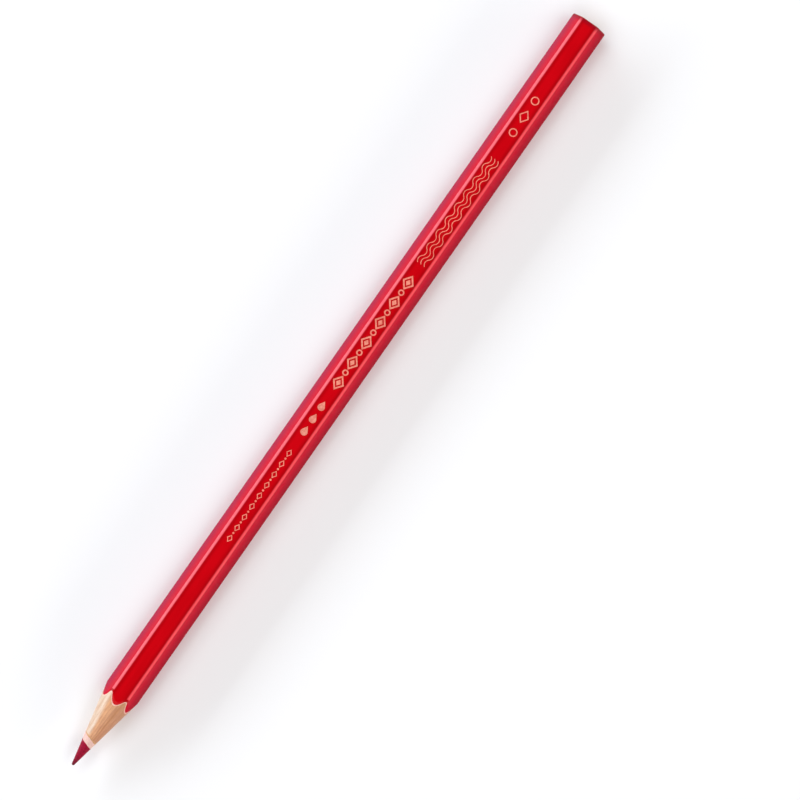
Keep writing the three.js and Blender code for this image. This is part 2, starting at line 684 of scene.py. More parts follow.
class Canvas(Tree):
    """A material under construction, with its one shader and the surface's place."""

    def __init__(self, material: bpy.types.Material, finish: "Finish") -> None:
        """Empties a material and gives it the finish's shader.

        Args:
            material: the material.
            finish: the finish, whose constant values go on the shader.
        """
        material.use_nodes = True
        material.node_tree.nodes.clear()
        super().__init__(material.node_tree)
        self.finish = finish
        self.place = self.node("ShaderNodeTexCoord").outputs["Object"]
        self.shader = self.node("ShaderNodeBsdfPrincipled", finish.settings())
        self.node("ShaderNodeOutputMaterial", {"Surface": self.shader.outputs[0]})

    def clouds(self, cloud: Cloud) -> Socket:
        """Cloudy noise over the surface."""
        return self.noise(self.place, cloud)

    def colour(self, colour: Socket) -> None:
        """Feeds the surface's colour."""
        self.feed(self.shader, "Base Color", colour)

    def roughen(self, mask: Socket, most: float) -> None:
        """Makes the surface rougher where a mask is light."""
        rough = self.plus(self.times(mask, most), self.finish.roughness)
        self.feed(self.shader, "Roughness", rough)

    def coat(self, share: Socket) -> None:
        """Says how much clear coat there is on the surface."""
        self.feed(self.shader, "Coat Weight", share)

    def relief(self, height: Socket) -> None:
        """Raises the surface by a height.

        Args:
            height: the height, in the finish's own unit.
        """
        finish = self.finish
        inputs = {"Height": height, "Strength": finish.bump, "Distance": finish.bump_height}
        self.feed(self.shader, "Normal", self.node("ShaderNodeBump", inputs).outputs[0])


@dataclass(frozen=True)
class Finish:
    """What every finish has: a name, the record's slot, its gloss and its relief."""

    name: str
    slot: str
    roughness: float
    specular: float = 0.5
    metallic: float = 0.0
    bump: float = 0.1
    bump_height: float = 2e-5  # metres
    sheen: float = 0.0
    sheen_roughness: float = 0.5
    sheen_tint: Colour = (1.0, 1.0, 1.0)

    def settings(self) -> dict[str, object]:
        """The shader's values that are the same all over the surface.

        Returns:
            Each value by its socket's name.
        """
        return {
            "Roughness": self.roughness,
            "Specular IOR Level": self.specular,
            "Metallic": self.metallic,
            "Sheen Weight": self.sheen,
            "Sheen Roughness": self.sheen_roughness,
            "Sheen Tint": rgba(self.sheen_tint),
        }

    def paint(self, canvas: Canvas) -> None:
        """Adds what changes over the surface."""
        raise NotImplementedError

    def material(self) -> bpy.types.Material:
        """Builds the material.

        Returns:
            The material, which nothing else uses yet.
        """
        made = bpy.data.materials.new(self.name)
        self.paint(Canvas(made, self))
        return made


@dataclass(frozen=True)
class LacquerFinish(Finish):
    """Glossy red lacquer that thins and lightens over the barrel's corners.

    Its colour also holds painted light: highlights on the corners, shade beside them, on the
    side facets and at the blunt end, and a bluer reflection on the side facets. Unless it
    says otherwise, a band is in metres: of distance from the middle of the barrel to either
    side, or, where it says across, from its right side to its left.
    """

    sizes: PencilSizes | None = None
    colour: Colour = (0.56, 0.0012, 0.0052)
    deep_colour: Colour = (0.51, 0.0009, 0.0044)
    drift: Cloud = Cloud((90, 500, 500))
    drift_band: Band = (0.35, 0.65)  # of its noise
    # pooled lacquer and painted shade: a darker band just inside each corner, beside its highlight
    pooled_shade_colour: Colour = (0.37, 0.0010, 0.0040)
    pooled_shade_band: Band = (0.93, 0.998)  # shares of the reach at which a corner begins
    pooled_shade_share: float = 0.8
    # painted reflection: a bluer red on the side facets
    side_reflection_tint: Colour = (0.55, 0.0012, 0.020)
    side_reflection_band: Band = (0.00175, 0.00235)
    # painted shade: the side facets darken towards their outer corners; the left ones also get a
    # painted pink reflection
    side_shade: Colour = (0.305, 0.0012, 0.014)
    left_shade_and_reflection: Colour = (0.33, 0.011, 0.049)
    side_shade_band: Band = (0.0022, 0.0038)
    # thin lacquer and a painted highlight on the corners, a brighter painted highlight on the left
    # ones
    thin_corner_and_highlight: Colour = (0.93, 0.084, 0.104)
    left_corner_highlight: Colour = (0.95, 0.150, 0.185)
    corner_start: float = 0.18  # share of the way from a corner's edge to its middle
    left_side_band: Band = (-0.0005, 0.0005)  # across, to the left side, which gets the brighter painted highlights and reflections
    rubbed_band: Band = (-0.0027, -0.0021)  # across, from the side that lost some gloss
    rubbed_coat: float = 0.6  # share of the clear coat that is left there
    # painted shade on the rounded rim of the blunt end
    rim_shade_colour: Colour = (0.24, 0.0030, 0.0110)
    rim_shade_band: Band = (0.0013, 0.00013)  # before the blunt end
    rim_shade_share: float = 0.8
    swell: float = 0.02  # how fast a facet falls away from its middle, for each millimetre squared
    peel: Cloud = Cloud(1500.0, 2.0)
    peel_share: float = 0.25
    flow: Cloud = Cloud((260, 700, 700), 1.0)
    scratch_share: float = 0.3
    unevenness: float = 0.0036  # millimetres
    handled_roughness: float = 0.25
    coat_roughness: float = 0.05
    coat_ior: float = 1.2

    def settings(self) -> dict[str, object]:
        """The shader's constant values, with those of its clear coat."""
        coat = {"Coat Roughness": self.coat_roughness, "Coat IOR": self.coat_ior}
        return super().settings() | coat

    def reach(self, canvas: Canvas) -> Socket:
        """How far the surface is from the barrel's axis.

        Args:
            canvas: the material.

        Returns:
            The distance in metres.
        """
        lowered = (0.0, 0.0, -self.sizes.axis_height * MM)
        section = canvas.mapped(canvas.place, scale=(0, 1, 1), shift=lowered)
        return canvas.node("ShaderNodeVectorMath", {0: section}, operation="LENGTH").outputs[1]

    def colours(self, canvas: Canvas, reach: Socket) -> Socket:
        """The lacquer's colour: deeper where it pooled, paler where it drew away from a corner,
        with painted shade, highlights and reflections.

        Args:
            canvas: the material.
            reach: how far the surface is from the barrel's axis.

        Returns:
            The colour.
        """
        along, across, _ = canvas.parts(canvas.place)
        out = canvas.math("ABSOLUTE", across)
        edge, corner = self.sizes.facet_edge_reach * MM, self.sizes.corner_reach * MM
        drift = canvas.ramp(canvas.clouds(self.drift), *self.drift_band)
        body = canvas.mix(drift, self.deep_colour, self.colour)
        # pooled lacquer and painted shade beside each corner
        pool_from, pool_to = (edge * share for share in self.pooled_shade_band)
        pooled = canvas.ramp(reach, pool_from, pool_to, 0.0, self.pooled_shade_share)
        body = canvas.mix(pooled, body, self.pooled_shade_colour)
        # painted reflection on the side facets
        body = canvas.mix(canvas.ramp(out, *self.side_reflection_band), body, self.side_reflection_tint)
        # thin: the left side, with brighter painted highlights and a painted pink reflection
        thin = canvas.ramp(across, *self.left_side_band)
        # aside: painted shade towards the side facets' outer corners
        aside = canvas.ramp(out, *self.side_shade_band)
        body = canvas.mix(aside, body, canvas.mix(thin, self.side_shade, self.left_shade_and_reflection))
        # worn: thin lacquer and a painted highlight on the corners
        worn = canvas.ramp(reach, edge + self.corner_start * (corner - edge), corner)
        worn = canvas.times(worn, canvas.less(1.0, aside))
        corners = canvas.mix(thin, self.thin_corner_and_highlight, self.left_corner_highlight)
        body = canvas.mix(worn, body, corners)
        # painted shade on the rounded rim of the blunt end
        rim_from, rim_to = (self.sizes.end_x * MM - ahead for ahead in self.rim_shade_band)
        rim = canvas.ramp(along, rim_from, rim_to, 0.0, self.rim_shade_share)
        return canvas.mix(rim, body, self.rim_shade_colour)

    def paint(self, canvas: Canvas) -> None:
        """Colour, gloss, the facets' swell, orange peel and handling.

        Args:
            canvas: the material.
        """
        reach = self.reach(canvas)
        canvas.colour(self.colours(canvas, reach))
        across = canvas.parts(canvas.place)[1]
        canvas.coat(canvas.ramp(across, *self.rubbed_band, self.rubbed_coat, 1.0))
        worn = HANDLING.on(canvas, Amount=1.0)
        canvas.roughen(worn["Mask"], self.handled_roughness)
        peel = canvas.times(canvas.clouds(self.peel), self.peel_share)
        height = canvas.plus(peel, canvas.clouds(self.flow))
        height = canvas.less(height, canvas.times(worn["Scratch"], self.scratch_share))
        fall = canvas.math("POWER", canvas.math("DIVIDE", reach, MM), 2.0)
        height = canvas.times(height, self.unevenness)
        canvas.relief(canvas.less(height, canvas.times(fall, self.swell)))


@dataclass(frozen=True)
class BareFinish(Finish):
    """A layer that the sharpener laid bare, with lead dust on it near the point, in metres."""

    stain: Colour = (0.75, 0.32, 0.32)
    stain_reach: float = 0.008
    stain_share: float = 0.5
    point_x: float = 0.0

    def stained(self, canvas: Canvas, body: Socket) -> Socket:
        """The layer's colour with the dust on it.

        Args:
            canvas: the material.
            body: the colour of the clean layer.

        Returns:
            The colour.
        """
        dust = PIGMENT_DUST.on(
            canvas, Start=self.point_x, Reach=self.stain_reach, Amount=self.stain_share
        )
        return canvas.mix(dust["Mask"], body, self.stain)


@dataclass(frozen=True)
class WoodFinish(BareFinish):
    """Bare sharpened wood: growth rings, fibres, pores, blade marks and a trace of pigment.

    A painted highlight runs down one side of the cone and painted shade down the other; their
    bands are slopes away from the barrel's middle line, seen from the point.
    """

    light: Colour = (0.70, 0.34, 0.152)
    dark: Colour = (0.46, 0.185, 0.074)
    tone_band: Band = (0.25, 0.95)
    # painted highlight: a pale band down the cone's lit side
    wood_highlight: Colour = (0.66, 0.50, 0.37)
    wood_highlight_band: Band = (0.045, 0.125)
    # painted shade down the cone's other side
    wood_shade_band: Band = (-0.19, -0.01)
    wood_shade_share: float = 0.36
    streak_band: Band = (0.35, 0.95)  # of the tone
    streak_share: float = 0.45  # share of the painted highlight that is left in the darkest streak
    stain: Colour = (0.45, 0.02, 0.05)
    stain_reach: float = 0.0135
    stain_share: float = 0.55
    wander: Cloud = Cloud((45, 240, 240), 2.0)
    slope_wander: float = 0.08
    ring_spacing: float = 0.0006
    ring_wander: float = 2.6  # ring spacings
    ring_band: Band = (0.3, 0.95)  # shares of a ring, between which it darkens
    ring_share: float = 0.22
    ring_turn: float = 0.0
    ring_shift: float = 0.0
    pores: float = 0.8
    pore_share: float = 0.35
    pore_shade: float = 0.5
    fibre_roughness: float = 0.12
    mark_share: float = 0.5

    def rings(self, canvas: Canvas, wander: Socket) -> Socket:
        """The growth rings: each darkens slowly and ends at once.

        Args:
            canvas: the material.
            wander: what bends them.

        Returns:
            How dark each place in a ring is.
        """
        turn, shift = (self.ring_turn, 0.0, 0.0), (0.0, 0.0, self.ring_shift)
        depth = canvas.parts(canvas.mapped(canvas.place, turn=turn, shift=shift))[2]
        depth = canvas.plus(depth, canvas.times(wander, self.ring_wander * self.ring_spacing))
        phase = canvas.math("FRACT", canvas.math("DIVIDE", depth, self.ring_spacing))
        start, end = self.ring_band
        return canvas.times(canvas.ramp(phase, start, end), canvas.ramp(phase, end, 1.0, 1.0, 0.0))

    def board(self, canvas: Canvas, tone: Socket) -> Socket:
        """The board's colours: rings, painted shade on one side of the cone, a painted highlight
        on the other.

        Args:
            canvas: the material.
            tone: the fibres' light and dark.

        Returns:
            The colour.
        """
        wander = canvas.clouds(self.wander)
        tone = canvas.plus(canvas.times(self.rings(canvas, wander), self.ring_share), tone)
        along, across, _ = canvas.parts(canvas.place)
        slope = canvas.math("DIVIDE", across, canvas.less(along, self.point_x))
        drift = canvas.times(canvas.less(wander, NOISE_MIDDLE), self.slope_wander)
        slope = canvas.plus(slope, drift)
        # deep: painted shade down the cone's other side
        deep = canvas.ramp(slope, *self.wood_shade_band, self.wood_shade_share, 0.0)
        tone = canvas.plus(tone, deep)
        heart = canvas.mix(canvas.ramp(tone, *self.tone_band), self.light, self.dark)
        streak = canvas.ramp(tone, *self.streak_band, 1.0, self.streak_share)
        # painted highlight down the cone's lit side, broken by the darker streaks
        painted_highlight = canvas.times(canvas.ramp(slope, *self.wood_highlight_band), streak)
        return canvas.mix(painted_highlight, heart, self.wood_highlight)

    def paint(self, canvas: Canvas) -> None:
        """The board, then what the blade and the lead left on it.

        Args:
            canvas: the material.
        """
        fibres = FIBRES.on(canvas, Pores=self.pores)
        body = self.board(canvas, fibres["Tone"])
        pores = canvas.times(fibres["Pore"], self.pore_share)
        body = canvas.mix(pores, body, shaded(self.dark, self.pore_shade))
        canvas.colour(self.stained(canvas, body))
        canvas.roughen(fibres["Tone"], self.fibre_roughness)
        marks = canvas.times(BLADE_MARKS.on(canvas)["Height"], self.mark_share)
        canvas.relief(canvas.plus(fibres["Height"], marks))


@dataclass(frozen=True)
class LeadFinish(Finish):
    """Waxy pigment with a dusty bloom, darker towards the point and scored by the blade."""

    colour: Colour = (0.365, 0.003, 0.031)
    dark: Colour = (0.22, 0.002, 0.020)
    tip_colour: Colour = (0.10, 0.010, 0.024)
    tip_band: Band = (0.0002, 0.0024)  # metres behind the point
    tip_share: float = 0.75
    point_x: float = 0.0
    mottle: Cloud = Cloud(2600.0, 4.0)
    mottle_roughness: float = 0.3
    grain: Cloud = Cloud(9000.0, 2.0)
    grain_share: float = 0.4
    grain_height: float = 0.3
    tone_band: Band = (0.38, 0.66)
    sheen: float = 0.20
    sheen_roughness: float = 0.35
    sheen_tint: Colour = (1.0, 0.65, 0.85)

    def paint(self, canvas: Canvas) -> None:
        """Mottled pigment, darker towards the point.

        Args:
            canvas: the material.
        """
        mottle, grain = canvas.clouds(self.mottle), canvas.clouds(self.grain)
        tone = canvas.ramp(canvas.weighed(mottle, grain, self.grain_share), *self.tone_band)
        behind = canvas.less(canvas.parts(canvas.place)[0], self.point_x)
        # used: darker towards the point
        used = canvas.ramp(behind, *self.tip_band, self.tip_share, 0.0)
        canvas.colour(canvas.mix(used, canvas.mix(tone, self.dark, self.colour), self.tip_colour))
        canvas.roughen(mottle, self.mottle_roughness)
        grain = canvas.times(grain, self.grain_height)
        canvas.relief(canvas.plus(BLADE_MARKS.on(canvas)["Height"], grain))


@dataclass(frozen=True)
class ChalkFinish(BareFinish):
    """A pale, chalky layer: the lead's jacket, the undercoat or the dried glue."""

    colour: Colour = (0.80, 0.51, 0.45)
    mottle: Cloud = Cloud(3000.0, 4.0)
    mottle_band: Band = (0.3, 0.7)
    mottle_shade: float = 0.86
    mottle_roughness: float = 0.15

    def paint(self, canvas: Canvas) -> None:
        """Chalk mottle with pigment rubbed into it.

        Args:
            canvas: the material.
        """
        mottle = canvas.ramp(canvas.clouds(self.mottle), *self.mottle_band)
        body = canvas.mix(mottle, shaded(self.colour, self.mottle_shade), self.colour)
        canvas.colour(self.stained(canvas, body))
        canvas.roughen(mottle, self.mottle_roughness)
        canvas.relief(canvas.plus(BLADE_MARKS.on(canvas)["Height"], mottle))


@dataclass(frozen=True)
class FoilFinish(Finish):
    """Stamped gold foil, dull and with a slightly uneven bite."""

    colour: Colour = (0.92, 0.355, 0.255)
    thin: Colour = (0.72, 0.13, 0.085)
    thin_share: float = 0.45
    metallic: float = 0.55
    bite: Cloud = Cloud(2200.0, 4.0)
    missed_band: Band = (0.42, 0.6)
    handled: float = 0.6
    handled_roughness: float = 0.3
    dimples: Cloud = Cloud(5000.0, 2.0)

    def paint(self, canvas: Canvas) -> None:
        """Where the foil took well, and where the red shows through it.

        Args:
            canvas: the material.
        """
        missed = canvas.ramp(canvas.clouds(self.bite), *self.missed_band, 1.0, 0.0)
        worn = HANDLING.on(canvas, Amount=self.handled)
        bare = canvas.times(canvas.math("MAXIMUM", missed, worn["Scratch"]), self.thin_share)
        canvas.colour(canvas.mix(bare, self.colour, self.thin))
        canvas.roughen(worn["Mask"], self.handled_roughness)
        canvas.relief(canvas.clouds(self.dimples))


@dataclass(frozen=True)
class FloorFinish(Finish):
    """A plain pale sheet, with hardly visible clouds so that it isn't dead flat."""

    colour: Colour = (0.89, 0.89, 0.90)
    cloud: Cloud = Cloud(6.0, 2.0)
    cloud_shade: float = 0.985

    def paint(self, canvas: Canvas) -> None:
        """The sheet's colour and its clouds."""
        dull = shaded(self.colour, self.cloud_shade)
        canvas.colour(canvas.mix(canvas.clouds(self.cloud), dull, self.colour))


def dress(piece: Piece, finish: Finish) -> Piece:
    """Gives a piece its one material.

    Args:
        piece: the piece.
        finish: its finish.

    Returns:
        The piece.
    """
    piece.data.materials.clear()
    piece.data.materials.append(finish.material())
    return piece


def hand_over(piece: Piece, *nodes: str) -> None:
    """Puts a finished piece on the pencil's body, in place of the nodes that it stands for.

    Args:
        piece: the piece, finished and dressed.
        nodes: the CAD nodes that it replaces, if any.
    """
    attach(piece, ROOT)
    if nodes:
        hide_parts(*nodes)
    LOG.info("%s: %d faces, for %s", piece.name, len(piece.data.polygons), nodes or "no node")


# The pencil


@dataclass
class Blank:
    """The shapes that every layer is cut from: long bars, the trimmed bar and the cone."""

    sizes: PencilSizes
    corner_steps: int = 10
    rim_steps: int = 5
    cone_steps: int = 192
    cone_ring_spacing: float = 0.4
    ringed_cone: float = 1.25  # how wide the cone still has rings, in barrel radii
    tip_rings: int = 5
    relief: float = 0.022
    relief_size: float = 0.9

    def long_bar(self, name: str, depth: float) -> Piece:
        """A six-sided bar with rounded corners that runs past both ends.

        Args:
            name: the bar's name.
            depth: how far it lies under the lacquer's surface.

        Returns:
            The bar.
        """
        size = self.sizes
        bpy.ops.mesh.primitive_cylinder_add(
            vertices=6,
            radius=(size.across_flats / 2 - depth) / math.cos(SIXTH_TURN / 2),
            depth=size.length + 2 * size.overshoot,
            location=(0, 0, size.axis_height),
            rotation=ALONG_X,
        )
        bar = added(name)
        with editing(bar, "EDGE") as mesh:
            select(mesh.edges, lambda edge: edge.calc_length() > size.length)
            bpy.ops.mesh.bevel(
                offset=(size.corner_radius - depth) * math.tan(SIXTH_TURN / 2),
                segments=self.corner_steps,
                affect="EDGES",
            )
        return bar

    def trimmed_bar(self) -> Piece:
        """The lacquered bar, trimmed square at the blunt end, with a worn rim.

        Returns:
            The bar.
        """
        size = self.sizes
        bar = self.long_bar("trimmed_bar", 0.0)
        with editing(bar, "VERT") as mesh:
            select(mesh.verts, lambda vertex: vertex.co.x > 0)
            mesh.select_flush(True)
            bpy.ops.transform.translate(value=(-size.overshoot, 0, 0))
        with editing(bar, "EDGE") as mesh:
            select(mesh.edges, lambda edge: all(vertex.co.x > 0 for vertex in edge.verts))
            bpy.ops.mesh.bevel(offset=size.rim_radius, segments=self.rim_steps, affect="EDGES")
        return bar

    def sharpened_space(self) -> Piece:
        """What a sharpener leaves: a blunt point, a slightly uneven cone, and clear space.

        Returns:
            The solid, whose axis crosses the barrel's a little behind the cone.
        """
        size = self.sizes
        clear = size.across_flats
        slope = math.tan(size.cone_half_angle)
        cone_end = size.cone_start + (clear - size.cone_radius(size.cone_start)) / slope
        stations = [(size.length + size.overshoot, clear), (cone_end, clear)]
        behind = size.cone_start + (size.across_flats / 2 * self.ringed_cone) / slope
        while behind > size.cone_start + self.cone_ring_spacing / 2:
            stations.append((behind, size.cone_radius(behind)))
            behind -= self.cone_ring_spacing
        for ring in range(self.tip_rings):
            turn = (math.pi / 2 - size.cone_half_angle) * (1 - ring / self.tip_rings)
            ahead = size.point_radius * (1 - math.cos(turn))
            stations.append((ahead, size.point_radius * math.sin(turn)))
        stations.append((0.0, 0.0))
        local = [(place - size.offset_reach, radius) for place, radius in stations]
        space = turned_bar("sharpened_space", local, 0.0, self.cone_steps)
        make_uneven(space, self.relief, self.relief_size)
        space.location = (size.point_x + size.offset_reach, 0, size.axis_height)
        space.rotation_euler = (0, 0, math.asin(size.point_offset / size.offset_reach))
        fix(space)
        return space

    def finished_bar(self) -> Piece:
        """The outside of the whole pencil as one solid.

        Returns:
            The trimmed bar with its sharpened end.
        """
        space = self.sharpened_space()
        bar = shape_by(self.trimmed_bar(), space, Cut.COMMON)
        discard(space)
        bar.name = "finished_bar"
        return bar


@dataclass
class Lead:
    """The pigment core and the white jacket bonded round it."""

    sizes: PencilSizes
    steps: int = 128
    uneven_from: float = 3.4  # behind the point
    uneven_to: float = 8.2
    ring_spacing: float = 0.2
    unevenness: float = 0.07
    grain: float = 1.1

    def rod(self, name: str, radius: float, uneven: bool) -> Piece:
        """A round bar with fine rings where the cone cuts it.

        Args:
            name: the bar's name.
            radius: its radius in millimetres.
            uneven: whether its surface wanders, as an extruded lead's does.

        Returns:
            The bar.
        """
        size = self.sizes
        rings = int((self.uneven_to - self.uneven_from) / self.ring_spacing)
        first_ring = size.point_x + self.uneven_to
        places = [first_ring - ring * self.ring_spacing for ring in range(rings + 1)]
        places = [size.end_x + size.overshoot, *places, size.point_x - size.overshoot]
        stations = [(place, radius) for place in places]
        rod = turned_bar(name, stations, size.axis_height, self.steps)
        if uneven:
            make_uneven(rod, self.unevenness, self.grain)
        return rod

    def build(self, bar: Piece) -> None:
        """Models and dresses the core and the jacket.

        Args:
            bar: the finished bar, whose cone cuts them.
        """
        size = self.sizes
        core_rod = self.rod("lead_core_rod", size.lead_radius, uneven=True)
        core = shape_by(copy_of(core_rod, "lead_core_turned"), bar, Cut.COMMON)
        jacket = self.rod("lead_jacket_turned", size.jacket_radius, uneven=True)
        shape_by(shape_by(jacket, bar, Cut.COMMON), core_rod, Cut.AWAY)
        discard(core_rod)
        point_x = size.point_x * MM
        lead = LeadFinish(
            "crimson_lead", "lead", roughness=0.3, specular=0.08, bump=1.0, point_x=point_x
        )
        chalk = ChalkFinish("white_jacket", "jacket", roughness=0.6, bump=0.4, point_x=point_x)
        hand_over(dress(settle(core), lead), "lead_core")
        hand_over(dress(settle(jacket), chalk), "lead_jacket")


class Board(Enum):
    """The two slats: the turn and shift of their growth rings, and their lighter tone."""

    UPPER = (1.25, 0.0003, (0.70, 0.34, 0.152))
    LOWER = (-0.9, 0.0, (0.67, 0.33, 0.152))


@dataclass
class Casing:
    """The two grooved slats and the glue that joins them round the lead."""

    sizes: PencilSizes
    blank: Blank
    lead: Lead

    def glue_shape(self) -> Piece:
        """The glue as it lies between two long slats, before anything is cut.

        Returns:
            A round bed for the lead with a thin wing on each side.
        """
        size = self.sizes
        bed = self.lead.rod("glue_bed", size.jacket_radius + size.glue_thickness, uneven=False)
        bpy.ops.mesh.primitive_cube_add(
            size=1,
            location=(0, 0, size.axis_height),
            scale=(size.length + size.overshoot, 2 * size.across_flats, size.glue_thickness),
        )
        wings = added("glue_wings")
        shape_by(bed, wings, Cut.JOIN)
        discard(wings)
        return bed

    def build(self, bar: Piece) -> None:
        """Models and dresses the glue and the slats.

        Args:
            bar: the finished bar, whose cone cuts them.
        """
        size = self.sizes
        wood = shape_by(self.blank.long_bar("wood_bar", size.wood_depth), bar, Cut.COMMON)
        glue_shape = self.glue_shape()
        jacket_rod = self.lead.rod("jacket_rod", size.jacket_radius, uneven=True)
        glue = shape_by(copy_of(glue_shape, "glue_line"), wood, Cut.COMMON)
        shape_by(glue, jacket_rod, Cut.AWAY)
        shape_by(wood, glue_shape, Cut.AWAY)
        discard(jacket_rod, glue_shape)
        point_x = size.point_x * MM
        dried = ChalkFinish(
            "dried_glue", "glue", roughness=0.45, colour=(0.58, 0.29, 0.12), point_x=point_x
        )
        hand_over(dress(settle(glue), dried), "glue_film")
        for board in (Board.LOWER, Board.UPPER):
            node = board.name.lower() + "_slat"
            slat = self.half(copy_of(wood, node + "_wood"), board)
            hand_over(dress(settle(slat), self.finish(board)), node)
        discard(wood)

    def half(self, wood: Piece, board: Board) -> Piece:
        """Keeps one of the two slats.

        Args:
            wood: both slats in one mesh.
            board: the one that stays.

        Returns:
            The slat.
        """
        middle, upper = self.sizes.axis_height, board is Board.UPPER
        with editing(wood) as mesh:
            select(mesh.faces, lambda face: (face.calc_center_median().z > middle) != upper)
            bpy.ops.mesh.delete(type="FACE")
        return wood

    def finish(self, board: Board) -> WoodFinish:
        """The finish of one slat, each of which was sawn from another board.

        Args:
            board: the slat.

        Returns:
            Its finish.
        """
        turn, shift, light = board.value
        return WoodFinish(
            board.name.lower() + "_board",
            "wood",
            roughness=0.29,
            specular=0.7,
            bump=0.3,
            light=light,
            ring_turn=turn,
            ring_shift=shift,
            point_x=self.sizes.point_x * MM,
        )


class Figure(Enum):
    """The ornament's figures, by the number of sides that each starts from."""

    LOZENGE = 4
    RING = 32
    DROP = 24


@dataclass(frozen=True)
class Row:
    """Equal figures that stand one behind another along the pencil, in millimetres."""

    kind: Figure
    length: float  # of one figure, along the pencil
    height: float  # across the facet
    first: float  # how far behind the point the first one stands
    step: float = 0.0
    count: int = 1
    stroke: float = 0.0  # the width of its line, or 0 for a filled figure


